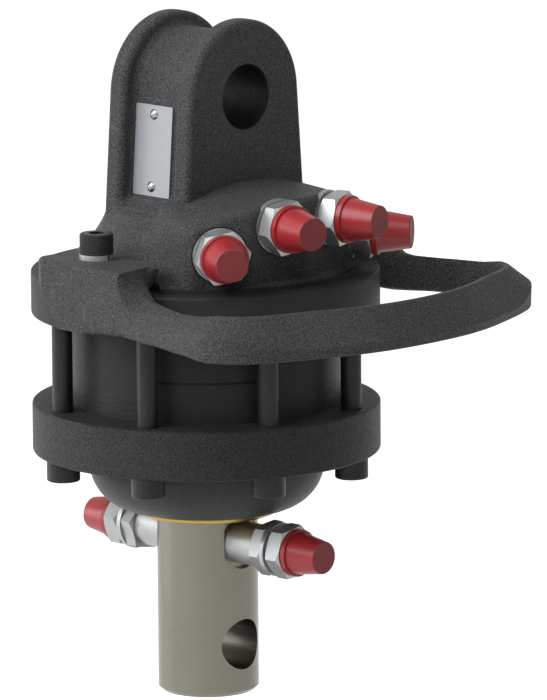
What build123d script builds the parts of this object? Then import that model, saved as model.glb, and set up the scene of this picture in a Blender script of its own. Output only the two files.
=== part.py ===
"""Hydraulic grapple rotator: a vane motor that hangs from a boom pin and turns a grapple.

Millimetres. The origin is the centre of the pin bore in the suspension lug, +Z runs up along the
rotor shaft and +X along the pin bore, to the side that the four upper hose ports face.
"""

from build123d import *
from math import cos, radians, sin, sqrt, tan
import os

os.makedirs("parts", exist_ok=True)

# Suspension lug
pin_bore_d = 25.0
pin_bore_chamfer = 0.5
lug_width = 45.4
lug_top_r = 30.0
lug_draft = 4.2
ear_thickness = 8.8
ear_edge_r = 2.6
groove_side_depth = 7.0
groove_top_depth = 5.5
groove_floor_r = 3.0
groove_end_z = -43.0
groove_end_r = 9.0
lug_foot_z = -60.0

# Main flanges, cam ring and the bolts that hold them together
upper_flange_top_z = -69.3
upper_flange_thickness = 17.0
cam_ring_width = 35.1
cam_ring_wall = 9.8
lower_flange_thickness = 19.4
flange_edge_r = 1.0
bolt_count = 8
bolt_cam_ring_gap = 4.1
bolt_flange_margin = 7.5
bolt_d = 8.0
bolt_hole_clearance = 0.4
screw_head_d = 13.0
screw_head_height = 8.0
screw_head_edge_r = 0.8
screw_socket_af = 6.0
screw_socket_depth = 4.5
screw_tip_chamfer = 0.9
bolt_thread_grip = 12.0
screw_tip_gap = 1.5
thread_clearance = 0.02

# Head casting above the flange
base_step_margin = 8.0
base_step_height = 1.6
flare_foot_margin = 2.0
flare_mid_r = 43.5
flare_mid_z = -55.8
flare_top_r = 37.5
flare_top_z = -44.0
block_top_z = -30.8
block_slope = 4.7
block_crown_r = 105.0
block_back_x = 14.5
block_back_half_width = 32.0
block_foot_x = 2.0
block_foot_half_width = 48.0
block_edge_r = 3.0
block_corner_r = 5.0

# Upper hose ports, mirrored about the XZ plane: seal face, yaw of the axis, depth of the spot face
inner_port_x = 51.5
inner_port_y = 13.4
inner_port_z = -45.2
inner_port_yaw = 12.0
inner_port_recess = 2.0
outer_port_x = 42.7
outer_port_y = 36.0
outer_port_z = -54.6
outer_port_yaw = 34.0
outer_port_recess = 1.5
port_land_margin = 2.0
second_groove_z = -62.0

# Hose fittings
port_thread_d = 13.16
port_depth = 13.0
gallery_d = 6.0
feed_drill_d = 5.0
feed_drill_depth = 16.0
spot_face_r = 11.1
seal_inner_r = 6.7
seal_outer_r = 10.6
seal_thickness = 2.0
adapter_neck_r = 8.6
adapter_neck_length = 0.8
adapter_hex_af = 19.0
adapter_hex_length = 7.0
adapter_hex_roll = 10.0
hex_chamfer_angle = 30.0
adapter_stub_length = 7.8
adapter_stub_chamfer = 0.6
adapter_bore_d = 6.4
adapter_shank_length = 10.5
cap_gap = 0.3
cap_flange_r = 9.25
cap_flange_thickness = 2.0
cap_base_r = 8.35
cap_end_r = 6.35
cap_end_edge_r = 0.5
cap_length = 14.9
cap_clearance = 0.06
cap_socket_margin = 0.5
cap_core_r = 4.6
cap_end_wall = 2.4

# Lower fittings on the shaft
nipple_barrel_r = 8.4
nipple_barrel_length = 14.3
nipple_hex_length = 6.0
nipple_thread_depth = 12.3
nipple_shank_length = 7.5

# Shaft, rotor, vanes and cam
shaft_d = 39.5
shaft_bottom_z = -237.0
shaft_chamfer = 1.5
swivel_r = 16.95
swivel_chamfer = 0.6
shaft_top_z = -37.0
bore_top_gap = 1.0
spline_outer_r = 21.0
spline_root_r = 19.2
spline_count = 12
spline_tooth_width = 5.0
spline_clearance = 0.04
collar_rim_inset = 0.5
collar_thickness = 4.8
collar_gap = 1.0
shaft_port_z = -176.0
shaft_flat_x = 17.7
shaft_spot_r = 10.5
shaft_port_depth = 8.7
shaft_gallery_x = 9.0
gallery_plug_length = 6.0
cross_bore_d = 20.0
cross_bore_z = -216.8
rotor_r = 38.0
rotor_side_gap = 0.08
rotor_hub_wall = 3.45
vane_count = 8
vane_thickness = 3.0
vane_clearance = 0.03
vane_spring_room = 1.5
vane_tip_gap = 0.25
vane_tip_edge_r = 1.4
vane_stroke = 4.4
cam_rotor_gap = 0.2

# Bearings and seals inside the housing
running_clearance = 0.05
bush_wall = 3.5
upper_bush_length = 15.0
lower_bush_length = 15.0
bush_chamfer = 0.5
bearing_shaft_gap = 2.75
bearing_section_width = 10.0
bearing_height = 14.0
bearing_washer_thickness = 4.0
bearing_chamfer = 0.6
bearing_seat_clearance = 0.1
ball_count = 14
ball_r = 3.6
ball_clearance = 0.05
cage_height = 2.6
cage_rim = 0.9
swivel_seal_rise = 5.3
swivel_seal_drop = 6.5
swivel_seal_width = 3.0
swivel_seal_depth = 2.0
swivel_seal_clearance = 0.01
oil_groove_width = 5.0
oil_groove_depth = 1.6
o_ring_cam_gap = 3.3
o_ring_groove_width = 2.9
o_ring_groove_depth = 2.0
o_ring_clearance = 0.05
lip_seal_width = 6.25
lip_seal_height = 5.0
lip_seal_wall = 1.5
bush_seal_gap = 1.8
wiper_width = 7.85
wiper_height = 2.8
wiper_proud = 1.9
wiper_edge_r = 0.8

# Lower cover
dome_wall = 13.5
dome_round_r = 18.0
dome_round_z = -146.0
dome_joint_r = 2.0
shaft_pass_clearance = 0.5

# Hose guard
guard_top_z = -58.0
guard_bar_top_z = -67.4
guard_bottom_z = -84.0
guard_ridge_height = 4.0
guard_side_ridge_height = 10.0
guard_ridge_overhang = 1.5
guard_crest_width = 2.4
guard_edge_r = 1.0
guard_rise_x = 54.0
guard_rise_run = 26.0
guard_rise_power = 5.0
guard_side_y = 62.0
guard_side_run = 22.0
guard_sections = 37
guard_rim_clearance = 0.3
guard_casting_gap = 0.6
guard_pad_edge_r = 2.0
guard_pad_corner_r = 3.0
guard_screw_margin = 8.5
guard_screw_length = 25.0
guard_screw_hole_clearance = 0.5
spring_washer_thickness = 2.0
spring_washer_inner_r = 4.25
spring_washer_r = 6.7
spring_washer_split = 1.2

# Plan of the hose guard: one half of its inner and outer lines, from the pad to the front
guard_inner_half = [(28, -61), (40, -66.6), (52.5, -72.7), (74, -77.3), (87.5, -75), (98.5, -56), (108.5, -29)]
guard_outer_half = [(30, -78), (41, -80.6), (53, -83.3), (76, -88.3), (94, -84), (108.3, -60.5), (118.5, -29)]
guard_inner_front = (112.4, 0)
guard_outer_front = (121, 0)
guard_pad_plan = [(-21, -50.5), (-21, -70.5), (-16, -74), (30, -78), (28, -61), (30, -56), (24, -50.5)]
guard_pad_cut = [(-22, -64), (-6, -84.1), (-22, -84.1)]

# Data plate
plate_width = 19.6
plate_height = 35.4
plate_thickness = 0.8
plate_centre_x = -3.0
plate_centre_z = -20.7
plate_corner_r = 0.6
plate_seat_margin = 0.2
rivet_inset = 3.6
rivet_head_r = 2.1
rivet_head_height = 1.1
rivet_shank_r = 1.2
rivet_shank_length = 5.0
rivet_hole_clearance = 0.02

# Radii that follow from the sizes above, from the rotor outwards and from the shaft outwards
cam_minor_r = rotor_r + cam_rotor_gap
cam_major_r = cam_minor_r + vane_stroke
cam_ring_outer_r = cam_major_r + cam_ring_wall
bolt_circle_r = cam_ring_outer_r + bolt_cam_ring_gap + bolt_d / 2
flange_r = bolt_circle_r + bolt_flange_margin
base_step_r = flange_r - base_step_margin
flare_foot_r = base_step_r - flare_foot_margin
guard_screw_y = flange_r - guard_screw_margin
o_ring_r = cam_major_r + o_ring_cam_gap
vane_tip_r = cam_minor_r - vane_tip_gap
slot_floor_r = spline_outer_r + rotor_hub_wall
vane_depth = vane_tip_r - slot_floor_r - vane_spring_room
shaft_r = shaft_d / 2
bearing_bore_r = shaft_r + bearing_shaft_gap
bearing_outer_r = bearing_bore_r + bearing_section_width
ball_pitch_r = (bearing_bore_r + bearing_outer_r) / 2
collar_r = bearing_outer_r - collar_rim_inset
dome_r = bearing_outer_r + dome_wall
lip_seal_outer_r = shaft_r + lip_seal_width
wiper_outer_r = shaft_r + wiper_width

# Levels and other sizes that follow
upper_flange_bottom_z = upper_flange_top_z - upper_flange_thickness
lower_flange_top_z = upper_flange_bottom_z - cam_ring_width
lower_flange_bottom_z = lower_flange_top_z - lower_flange_thickness
dome_bottom_z = dome_round_z - dome_round_r
rotor_top_z = upper_flange_bottom_z - rotor_side_gap
rotor_bottom_z = lower_flange_top_z + rotor_side_gap
rotor_height = rotor_top_z - rotor_bottom_z
collar_bottom_z = rotor_bottom_z - collar_thickness
bearing_bottom_z = collar_bottom_z - bearing_height
lower_bush_bottom_z = bearing_bottom_z - lower_bush_length
lip_seal_top_z = lower_bush_bottom_z - bush_seal_gap
wiper_bottom_z = dome_bottom_z - wiper_proud
wiper_top_z = wiper_bottom_z + wiper_height
port_thread_r = port_thread_d / 2
stub_r = port_thread_r - thread_clearance
swivel_bore_r = swivel_r + running_clearance
upper_bush_r = swivel_bore_r + bush_wall
lower_bush_bore_r = shaft_r + running_clearance
lower_bush_r = lower_bush_bore_r + bush_wall
swivel_bore_top_z = shaft_top_z + bore_top_gap
long_bolt_length = lower_flange_thickness + cam_ring_width + bolt_thread_grip
tapped_r = bolt_d / 2 + thread_clearance
guard_screw_seat_z = guard_top_z + spring_washer_thickness
adapter_hex_start = seal_thickness + adapter_neck_length
adapter_hex_end = adapter_hex_start + adapter_hex_length
stub_end = adapter_hex_end + adapter_stub_length
cap_start = adapter_hex_end + cap_gap
nipple_length = nipple_barrel_length + nipple_hex_length
swivel_seal_levels = (
    inner_port_z + swivel_seal_rise,
    (inner_port_z + second_groove_z) / 2,
    second_groove_z - swivel_seal_drop,
)
touch = 0.01
upward = (Align.CENTER, Align.CENTER, Align.MIN)
downward = (Align.CENTER, Align.CENTER, Align.MAX)


def save(part, name):
    """Label one finished piece and write it to its own STEP file."""
    part.label = name
    export_step(part, f"parts/{name}.step")


def arch_face(radius, centre_z, foot_z):
    """Return a drafted arch: a round head on sides that widen downwards, its height along Y."""
    head_y = radius * cos(radians(lug_draft))
    head_z = centre_z + radius * sin(radians(lug_draft))
    foot_y = head_y + (head_z - foot_z) * tan(radians(lug_draft))
    with BuildSketch() as arch:
        with BuildLine():
            Polyline((head_y, head_z), (foot_y, foot_z), (-foot_y, foot_z), (-head_y, head_z))
            ThreePointArc((-head_y, head_z), (0, centre_z + radius), (head_y, head_z))
        make_face()
    return arch.sketch


def plan_face(points):
    """Return the face inside a closed line of straight sides."""
    with BuildSketch() as plan:
        with BuildLine():
            Polyline(*points, close=True)
        make_face()
    return plan.sketch


def turned(points):
    """Return the solid that a closed half section, as radius and height, sweeps about the Z axis."""
    with BuildPart() as solid:
        with BuildSketch(Plane.XZ):
            with BuildLine():
                Polyline(*points, close=True)
            make_face()
        revolve(axis=Axis.Z)
    return solid.part


def port_plane(x, y, z, yaw):
    """Return the plane of a hose port's seal face, with its normal pointing out of the port."""
    normal = Vector(cos(radians(yaw)), sin(radians(yaw)), 0)
    return Plane(origin=(x, y, z), x_dir=Vector(0, 0, 1).cross(normal), z_dir=normal)


def placed(part, plane):
    """Return a copy of a part with its own origin and Z axis on a plane."""
    return plane.location * part


def line_meeting(first_distance, first_yaw, second_distance, second_yaw):
    """Return the plan point where two walls meet, each given by its distance from Z and its yaw."""
    first = radians(first_yaw)
    second = radians(second_yaw)
    spread = sin(second - first)
    x = (first_distance * sin(second) - second_distance * sin(first)) / spread
    y = (second_distance * cos(first) - first_distance * cos(second)) / spread
    return x, y


def mirrored_line(half, front):
    """Return a plan line's half, its points on the X axis and the half mirrored about that axis."""
    return half + front + [(x, -y) for x, y in reversed(half)]


def at_x(edges, x):
    """Pick the edges that lie flat on either of the two planes at plus and minus x."""
    return edges.filter_by(lambda e: abs(abs(e.center().X) - x) < touch and e.bounding_box().size.X < touch)


def circles(edges, radius):
    """Pick the round edges of one radius."""
    return edges.filter_by(GeomType.CIRCLE).filter_by(lambda e: abs(e.radius - radius) < touch)


def drilling(start, end, diameter):
    """Return the round core that a drill leaves between two points."""
    direction = Vector(*end) - Vector(*start)
    with BuildPart() as core:
        with BuildSketch(Plane(origin=start, z_dir=direction)):
            Circle(diameter / 2)
        extrude(amount=direction.length)
    return core.part


def ring(inner_r, outer_r, bottom_z, height, edge=0.0):
    """Return a plain turned ring about the Z axis, with its outer edges chamfered."""
    with BuildPart() as band:
        with BuildSketch(Plane.XY.offset(bottom_z)):
            Circle(outer_r)
            Circle(inner_r, mode=Mode.SUBTRACT)
        extrude(amount=height)
        if edge > 0:
            chamfer(circles(band.edges(), outer_r), length=edge)
    return band.part


def socket_screw(length):
    """Return a socket cap screw with its seat at the origin and its head above it."""
    with BuildPart() as screw:
        Cylinder(bolt_d / 2, length, align=downward)
        chamfer(screw.edges().group_by(Axis.Z)[0], length=screw_tip_chamfer)
        Cylinder(screw_head_d / 2, screw_head_height, align=upward)
        fillet(screw.edges().group_by(Axis.Z)[-1], radius=screw_head_edge_r)
        with BuildSketch(Plane.XY.offset(screw_head_height)):
            RegularPolygon(screw_socket_af / 2, 6, major_radius=False)
        extrude(amount=-screw_socket_depth, mode=Mode.SUBTRACT)
    return screw.part


def hex_body(start, length):
    """Return a hexagon along Z with the corners turned off at both ends."""
    end = start + length
    flat_r = adapter_hex_af / 2
    corner_r = adapter_hex_af / sqrt(3)
    run = (corner_r - flat_r) * tan(radians(hex_chamfer_angle))
    with BuildPart() as hexagon:
        with BuildSketch(Plane.XY.offset(start)):
            RegularPolygon(flat_r, 6, major_radius=False, rotation=adapter_hex_roll)
        extrude(amount=length)
        start_line = [(0, start), (flat_r, start), (corner_r, start + run)]
        end_line = [(corner_r, end - run), (flat_r, end), (0, end)]
        add(turned(start_line + end_line), mode=Mode.INTERSECT)
    return hexagon.part


def adapter(shank_length):
    """Return a hose adapter: shank inwards, neck on the seal face, hexagon and threaded stub."""
    with BuildPart() as body:
        with Locations((0, 0, seal_thickness)):
            Cylinder(stub_r, shank_length + seal_thickness, align=downward)
            Cylinder(adapter_neck_r, adapter_neck_length, align=upward)
        add(hex_body(adapter_hex_start, adapter_hex_length))
        with Locations((0, 0, adapter_hex_end)):
            Cylinder(stub_r, adapter_stub_length, align=upward)
        chamfer(body.edges().group_by(Axis.Z)[-1], length=adapter_stub_chamfer)
        with Locations((0, 0, stub_end)):
            Cylinder(adapter_bore_d / 2, stub_end + shank_length, align=downward, mode=Mode.SUBTRACT)
    return body.part


def cap():
    """Return a plastic protection cap that pushes over an adapter's stub."""
    end = cap_start + cap_length
    skirt = cap_start + cap_flange_thickness
    socket_r = stub_r + cap_clearance
    socket_end = stub_end + cap_socket_margin
    floor = end - cap_end_wall
    flange_line = [
        (socket_r, cap_start),
        (cap_flange_r, cap_start),
        (cap_flange_r, skirt),
        (cap_base_r, skirt),
    ]
    end_line = [(cap_end_r, end), (0, end), (0, floor), (cap_core_r, floor)]
    socket_line = [(cap_core_r, socket_end), (socket_r, socket_end)]
    with BuildPart() as shell:
        add(turned(flange_line + end_line + socket_line))
        fillet(circles(shell.edges(), cap_end_r), radius=cap_end_edge_r)
    return shell.part


def nipple():
    """Return the long extension piece between the shaft and a lower adapter."""
    with BuildPart() as body:
        Cylinder(stub_r, nipple_shank_length, align=downward)
        Cylinder(nipple_barrel_r, nipple_barrel_length, align=upward)
        add(hex_body(nipple_barrel_length, nipple_hex_length))
        with Locations((0, 0, nipple_length)):
            Cylinder(port_thread_r, nipple_thread_depth, align=downward, mode=Mode.SUBTRACT)
            bore_length = nipple_length + nipple_shank_length
            Cylinder(adapter_bore_d / 2, bore_length, align=downward, mode=Mode.SUBTRACT)
    return body.part


def spline_face(clearance):
    """Return the toothed section that locks the rotor to the shaft, grown by a clearance."""
    with BuildSketch() as teeth:
        Circle(spline_root_r + clearance)
        with PolarLocations(0, spline_count):
            with Locations((spline_outer_r / 2, 0)):
                Rectangle(spline_outer_r + spline_tooth_width, spline_tooth_width + 2 * clearance)
    with BuildSketch() as section:
        Circle(spline_outer_r + clearance)
        add(teeth.sketch, mode=Mode.INTERSECT)
    return section.sketch


def guard_section(inner, outer):
    """Return the bar's section between two plan points.

    Its sloping face stands higher along the sides, and at a pad it fills out to the pad's own height.
    """
    across = outer - inner
    rise = max(0.0, min(1.0, (guard_rise_x - inner.X) / guard_rise_run)) ** guard_rise_power
    side = max(0.0, min(1.0, (abs(outer.Y) - guard_side_y) / guard_side_run))
    width = across.length
    top = guard_bar_top_z - guard_bottom_z + rise * (guard_top_z - guard_bar_top_z)
    ridge = guard_ridge_height + side * (guard_side_ridge_height - guard_ridge_height)
    ridge = ridge + rise * (top - guard_pad_edge_r - ridge)
    crest = guard_crest_width + rise * (width - guard_pad_edge_r - guard_crest_width)
    overhang = guard_ridge_overhang * (1 - side)
    bottom = (inner.X, inner.Y, guard_bottom_z)
    with BuildSketch(Plane(origin=bottom, x_dir=across, z_dir=across.cross(Vector(0, 0, 1)))) as section:
        add(plan_face([(0, 0), (width, 0), (width + overhang, ridge), (crest, top), (0, top)]))
    return section.sketch


def rivet():
    """Return a domed drive rivet with the underside of its head at the origin."""
    with BuildPart() as pin:
        with BuildSketch(Plane.XZ):
            with BuildLine():
                Polyline((rivet_head_r, 0), (0, 0), (0, rivet_head_height))
                TangentArc((0, rivet_head_height), (rivet_head_r, 0), tangent=(1, 0))
            make_face()
        revolve(axis=Axis.Z)
        Cylinder(rivet_shank_r, rivet_shank_length, align=downward)
    return pin.part


# Where the four upper ports, the two shaft ports and the guard screws are
upper_ports = {
    "front_outer": port_plane(outer_port_x, -outer_port_y, outer_port_z, -outer_port_yaw),
    "front_inner": port_plane(inner_port_x, -inner_port_y, inner_port_z, -inner_port_yaw),
    "back_inner": port_plane(inner_port_x, inner_port_y, inner_port_z, inner_port_yaw),
    "back_outer": port_plane(outer_port_x, outer_port_y, outer_port_z, outer_port_yaw),
}
shaft_ports = {
    "right": port_plane(shaft_flat_x, 0, shaft_port_z, 0),
    "left": port_plane(-shaft_flat_x, 0, shaft_port_z, 180),
}
guard_screws = {
    "front": (0, -guard_screw_y),
    "back": (0, guard_screw_y),
}

# Where the data plate lies: on the floor of the lug's groove, which slopes with the draft
web_r = lug_top_r - groove_side_depth
web_centre_z = groove_side_depth - groove_top_depth
web_foot_drop = web_centre_z + web_r * sin(radians(lug_draft)) - plate_centre_z
plate_y = -web_r * cos(radians(lug_draft)) - web_foot_drop * tan(radians(lug_draft))
plate_normal = Vector(0, -cos(radians(lug_draft)), sin(radians(lug_draft)))
plate_plane = Plane(origin=(plate_centre_x, plate_y, plate_centre_z), x_dir=(1, 0, 0), z_dir=plate_normal)
rivet_offset = plate_height / 2 - rivet_inset
rivets = {
    "upper": Plane(plate_plane.offset(plate_thickness).location * Location((0, rivet_offset, 0))),
    "lower": Plane(plate_plane.offset(plate_thickness).location * Location((0, -rivet_offset, 0))),
}

# Lug with two ears and a groove that runs over its edge between them
groove_half_width = lug_width / 2 - ear_thickness

with BuildSketch(Plane.YZ) as lug_profile:
    add(arch_face(lug_top_r, 0, lug_foot_z))

with BuildSketch(Plane.YZ) as groove_profile:
    with Locations((0, groove_end_z)):
        Rectangle(4 * lug_top_r, 4 * lug_top_r, align=(Align.CENTER, Align.MIN))
    add(arch_face(web_r, web_centre_z, lug_foot_z), mode=Mode.SUBTRACT)
    groove_ends = groove_profile.vertices().filter_by(lambda v: abs(v.Y - groove_end_z) < touch)
    fillet(groove_ends.filter_by(lambda v: abs(v.X) < 1.5 * lug_top_r), radius=groove_end_r)

with BuildPart() as lug:
    extrude(lug_profile.sketch, amount=lug_width / 2, both=True)
    outer_edges = at_x(lug.edges(), lug_width / 2)
    fillet(outer_edges.filter_by(lambda e: e.center().Z > lug_foot_z + touch), radius=ear_edge_r)
    extrude(groove_profile.sketch, amount=groove_half_width, both=True, mode=Mode.SUBTRACT)
    groove_faces = lug.faces().filter_by(lambda f: abs(f.bounding_box().size.X - 2 * groove_half_width) < touch)
    fillet(at_x(groove_faces.edges(), groove_half_width), radius=groove_floor_r)
    rims = at_x(lug.edges(), groove_half_width)
    fillet(rims.filter_by(lambda e: e.length > 2 * groove_floor_r), radius=ear_edge_r)

# Port block: four walls square to the port axes under a crowned top that slopes to the front, and two
# side walls that lean out to the neck's foot
inner_yaw = radians(inner_port_yaw)
outer_yaw = radians(outer_port_yaw)
inner_wall = inner_port_x * cos(inner_yaw) + inner_port_y * sin(inner_yaw) + inner_port_recess
outer_wall = outer_port_x * cos(outer_yaw) + outer_port_y * sin(outer_yaw) + outer_port_recess
land = spot_face_r + port_land_margin
outer_end = (
    outer_port_x + outer_port_recess * cos(outer_yaw) - land * sin(outer_yaw),
    outer_port_y + outer_port_recess * sin(outer_yaw) + land * cos(outer_yaw),
)
wall_corner = line_meeting(inner_wall, inner_port_yaw, outer_wall, outer_port_yaw)
block_half = [(block_back_x, block_back_half_width), outer_end, wall_corner]
block_foot_half = [(block_foot_x, block_foot_half_width), outer_end, wall_corner]
block_nose = (inner_wall / cos(inner_yaw), 0)
crown_axis = Plane(
    origin=(0, 0, block_top_z - block_crown_r / cos(radians(block_slope))),
    x_dir=(0, 1, 0),
    z_dir=(cos(radians(block_slope)), 0, -sin(radians(block_slope))),
)

with BuildPart() as port_block:
    with BuildSketch(Plane.XY.offset(upper_flange_top_z)) as block_foot:
        add(plan_face(mirrored_line(block_foot_half, [block_nose])))
        fillet(block_foot.vertices(), radius=block_corner_r)
    with BuildSketch(Plane.XY.offset(block_top_z + block_corner_r)) as block_plan:
        add(plan_face(mirrored_line(block_half, [block_nose])))
        fillet(block_plan.vertices(), radius=block_corner_r)
    loft(ruled=True)
    with BuildSketch(crown_axis):
        Circle(block_crown_r)
    extrude(amount=2 * flange_r, both=True, mode=Mode.INTERSECT)
    fillet(port_block.faces().sort_by(Axis.Z)[-1].edges(), radius=block_edge_r)

# Neck that flares from the lug to the base step
step_top_z = upper_flange_top_z + base_step_height

with BuildPart() as neck:
    with BuildSketch(Plane.XZ):
        with BuildLine():
            Polyline((flare_top_r, flare_top_z), (0, flare_top_z), (0, step_top_z), (flare_foot_r, step_top_z))
            ThreePointArc((flare_foot_r, step_top_z), (flare_mid_r, flare_mid_z), (flare_top_r, flare_top_z))
        make_face()
    revolve(axis=Axis.Z)
    with Locations((0, 0, upper_flange_top_z)):
        Cylinder(base_step_r, base_step_height, align=upward)

# Upper flange
with BuildPart() as upper_flange:
    with Locations((0, 0, upper_flange_bottom_z)):
        Cylinder(flange_r, upper_flange_thickness, align=upward)
    fillet(upper_flange.edges().filter_by(GeomType.CIRCLE), radius=flange_edge_r)

# Room for the guard's pads against the foot of the neck
with BuildPart() as pad_room:
    with BuildSketch(Plane.XY.offset(upper_flange_top_z)):
        add(plan_face(guard_pad_plan))
        offset(amount=guard_casting_gap)
    extrude(amount=guard_screw_seat_z - upper_flange_top_z)
    mirror(about=Plane.XZ)

# Head casting: the solid shape, then its bores, ports and oil galleries
feed_start = {
    "front_outer": upper_ports["front_outer"].offset(-feed_drill_depth).origin,
    "back_outer": upper_ports["back_outer"].offset(-feed_drill_depth).origin,
}
swivel_feed_end = upper_ports["front_inner"].offset(-inner_wall + swivel_r - running_clearance).origin
second_feed_end = (swivel_r * cos(inner_yaw), swivel_r * sin(inner_yaw), second_groove_z)

with BuildPart() as head:
    add(lug.part)
    add(neck.part)
    add(port_block.part)
    add(pad_room.part, mode=Mode.SUBTRACT)
    add(upper_flange.part)
    Cylinder(pin_bore_d / 2, 2 * lug_width, rotation=(0, 90, 0), mode=Mode.SUBTRACT)
    chamfer(at_x(circles(head.edges(), pin_bore_d / 2), lug_width / 2), length=pin_bore_chamfer)
    with Locations((0, 0, upper_flange_bottom_z)):
        Cylinder(swivel_bore_r, swivel_bore_top_z - upper_flange_bottom_z, align=upward, mode=Mode.SUBTRACT)
        Cylinder(upper_bush_r, upper_bush_length, align=upward, mode=Mode.SUBTRACT)
        with PolarLocations(bolt_circle_r, bolt_count, start_angle=180 / bolt_count):
            Cylinder(tapped_r, bolt_thread_grip + screw_tip_gap, align=upward, mode=Mode.SUBTRACT)
    for screw_x, screw_y in guard_screws.values():
        with Locations((screw_x, screw_y, upper_flange_top_z)):
            screw_reach = upper_flange_top_z - guard_screw_seat_z + guard_screw_length + screw_tip_gap
            Cylinder(tapped_r, screw_reach, align=downward, mode=Mode.SUBTRACT)
    for plane in upper_ports.values():
        with Locations(plane.location):
            Cylinder(spot_face_r, port_depth, align=upward, mode=Mode.SUBTRACT)
            Cylinder(port_thread_r, port_depth, align=downward, mode=Mode.SUBTRACT)
    for name, bend in feed_start.items():
        drop = (bend.X, bend.Y, upper_flange_bottom_z)
        add(drilling(upper_ports[name].origin, bend, gallery_d), mode=Mode.SUBTRACT)
        add(drilling(bend, drop, feed_drill_d), mode=Mode.SUBTRACT)
    add(drilling(upper_ports["front_inner"].origin, swivel_feed_end, gallery_d), mode=Mode.SUBTRACT)
    second_feed_start = upper_ports["back_inner"].offset(-port_depth).origin
    add(drilling(second_feed_start, second_feed_end, gallery_d), mode=Mode.SUBTRACT)
    with BuildSketch(plate_plane):
        Rectangle(plate_width + 2 * plate_seat_margin, plate_height + 2 * plate_seat_margin)
    extrude(amount=groove_floor_r, mode=Mode.SUBTRACT)
    for plane in rivets.values():
        with Locations(plane.location):
            rivet_hole_r = rivet_shank_r + rivet_hole_clearance
            Cylinder(rivet_hole_r, rivet_shank_length, align=downward, mode=Mode.SUBTRACT)

save(head.part, "head_casting")

# Data plate and its rivets
with BuildPart() as data_plate:
    with BuildSketch(plate_plane):
        RectangleRounded(plate_width, plate_height, plate_corner_r)
        with Locations((0, rivet_offset), (0, -rivet_offset)):
            Circle(rivet_shank_r + rivet_hole_clearance, mode=Mode.SUBTRACT)
    extrude(amount=plate_thickness)

save(data_plate.part, "data_plate")
for name, plane in rivets.items():
    save(placed(rivet(), plane), f"plate_rivet_{name}")

# Hose guard: a cast bar that sweeps round the front from one pad to the other
with BuildLine() as inner_line:
    Spline(*mirrored_line(guard_inner_half, [guard_inner_front]))

with BuildLine() as outer_line:
    Spline(*mirrored_line(guard_outer_half, [guard_outer_front]))

stations = [step / (guard_sections - 1) for step in range(guard_sections)]
bar_sections = [guard_section(inner_line.line @ station, outer_line.line @ station) for station in stations]

with BuildPart() as guard_bar:
    loft(bar_sections)
    fillet(guard_bar.edges().filter_by(lambda e: e.length > guard_screw_y), radius=guard_edge_r)

with BuildPart() as guard_pads:
    with BuildSketch(Plane.XY.offset(guard_bottom_z)) as pad_plan:
        add(plan_face(guard_pad_plan))
        outer_corners = pad_plan.vertices().filter_by(lambda v: v.Y < -guard_screw_y and v.X < 0)
        fillet(outer_corners, radius=guard_pad_corner_r)
    extrude(amount=guard_top_z - guard_bottom_z)
    pad_rim = guard_pads.edges().group_by(Axis.Z)[-1]
    joint = (inner_line.line @ 0 + outer_line.line @ 0) / 2 + Vector(0, 0, guard_top_z)
    fillet(pad_rim.filter_by(lambda e: (e.center() - joint).length > touch), radius=guard_pad_edge_r)
    with BuildSketch(Plane.XZ):
        add(plan_face(guard_pad_cut))
    extrude(amount=2 * guard_screw_y, both=True, mode=Mode.SUBTRACT)
    mirror(about=Plane.XZ)

with BuildPart() as guard:
    add(guard_bar.part)
    add(guard_pads.part)
    with Locations((0, 0, upper_flange_top_z)):
        Cylinder(flange_r + guard_rim_clearance, upper_flange_thickness, align=downward, mode=Mode.SUBTRACT)
    for screw_x, screw_y in guard_screws.values():
        with Locations((screw_x, screw_y, guard_top_z)):
            guard_hole_r = bolt_d / 2 + guard_screw_hole_clearance
            Cylinder(guard_hole_r, 2 * upper_flange_thickness, align=downward, mode=Mode.SUBTRACT)

save(guard.part, "hose_guard")

# Guard screws and their spring washers
with BuildPart() as spring_washer:
    add(ring(spring_washer_inner_r, spring_washer_r, 0, spring_washer_thickness))
    with Locations((spring_washer_r, 0, 0)):
        Box(spring_washer_r, spring_washer_split, 4 * spring_washer_thickness, mode=Mode.SUBTRACT)

for name, (screw_x, screw_y) in guard_screws.items():
    washer_place = Plane(origin=(screw_x, screw_y, guard_top_z))
    screw_place = Plane(origin=(screw_x, screw_y, guard_screw_seat_z))
    save(placed(spring_washer.part, washer_place), f"guard_washer_{name}")
    save(placed(socket_screw(guard_screw_length), screw_place), f"guard_screw_{name}")

# Cam ring with an oil seal groove in each face
with BuildPart() as cam_ring:
    with BuildSketch(Plane.XY.offset(lower_flange_top_z)):
        Circle(cam_ring_outer_r)
        Ellipse(cam_major_r, cam_minor_r, mode=Mode.SUBTRACT)
    extrude(amount=cam_ring_width)
    groove_inner_r = o_ring_r - o_ring_groove_width / 2
    groove_outer_r = o_ring_r + o_ring_groove_width / 2
    for groove_z in (lower_flange_top_z, upper_flange_bottom_z - o_ring_groove_depth):
        add(ring(groove_inner_r, groove_outer_r, groove_z, o_ring_groove_depth), mode=Mode.SUBTRACT)

save(cam_ring.part, "cam_ring")

with BuildPart() as o_ring:
    with BuildSketch(Plane.XZ):
        with Locations((o_ring_r, 0)):
            Ellipse(o_ring_groove_width / 2 - o_ring_clearance, (o_ring_groove_depth - o_ring_clearance) / 2)
    revolve(axis=Axis.Z)

save(placed(o_ring.part, Plane.XY.offset(upper_flange_bottom_z - o_ring_groove_depth / 2)), "o_ring_upper")
save(placed(o_ring.part, Plane.XY.offset(lower_flange_top_z + o_ring_groove_depth / 2)), "o_ring_lower")

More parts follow.
